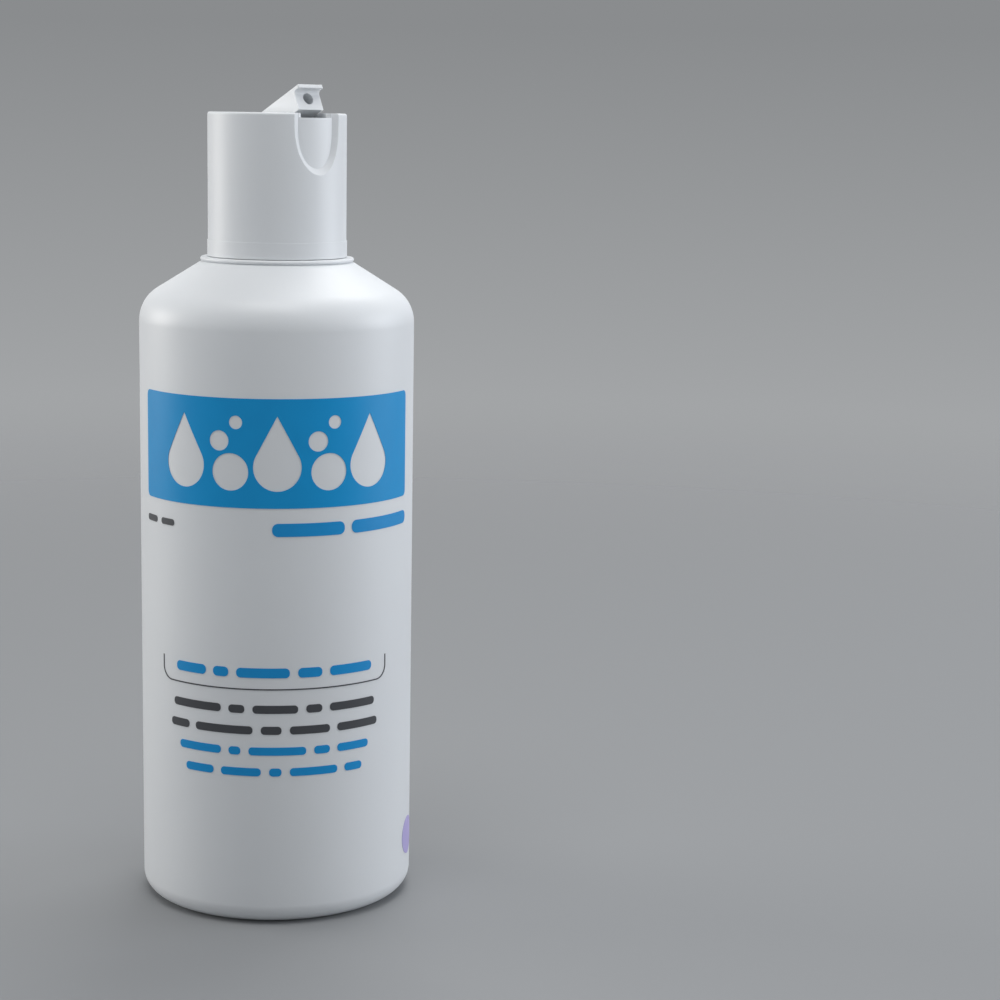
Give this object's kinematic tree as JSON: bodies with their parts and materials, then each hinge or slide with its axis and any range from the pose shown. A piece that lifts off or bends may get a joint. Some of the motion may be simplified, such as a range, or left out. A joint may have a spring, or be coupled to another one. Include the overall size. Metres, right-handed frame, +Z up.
{
  "type": "liquid soap bottle",
  "caption": "Round blow-moulded soap bottle with a printed wall and a screw closure whose narrow spout swivels up out of a pocket above a finger scoop.",
  "frame": {"origin": "centre of the bottle's base, on the plane that it stands on", "axes": "+Z up along the bottle's axis, -Y towards the printed front, +X to the right of someone who looks at the front"},
  "size_m": [0.068, 0.0681, 0.2031],
  "materials": {
    "bottle_plastic": "satin blow-moulded polyethylene",
    "closure_plastic": "satin injection-moulded polypropylene",
    "liner_foam": "matt closed-cell foam",
    "ink_blue": "screen-printed ink",
    "ink_grey": "screen-printed ink",
    "ink_lilac": "screen-printed ink"
  },
  "bodies": {
    "bottle": {"bottle": "bottle_plastic", "panel_print": "ink_blue", "line_print": "ink_blue", "text_print": "ink_grey", "mark_print": "ink_lilac"},
    "liner": {"liner": "liner_foam"},
    "cap": {"cap": "closure_plastic"},
    "spout": {"spout": "closure_plastic"}
  },
  "joints": [
    {"name": "cap_lift", "type": "slide", "parent": "bottle", "child": "liner", "axis": [0, 0, 1], "range_m": [0, 0.00601]},
    {"name": "cap_turn", "type": "hinge", "parent": "liner", "child": "cap", "pos_m": [0, 0, 0.1795], "axis": [0, 0, 1], "range_deg": [0, 540]},
    {"name": "spout_tilt", "type": "hinge", "parent": "cap", "child": "spout", "pos_m": [-0.00066, 0.00088, 0.19285], "axis": [-0.7986, -0.6018, 0], "range_deg": [-24.7, 65.3]}
  ],
  "couplings": [
    {"joint": "cap_lift", "follows": "cap_turn", "m_per_rad": 0.00063662}
  ]
}
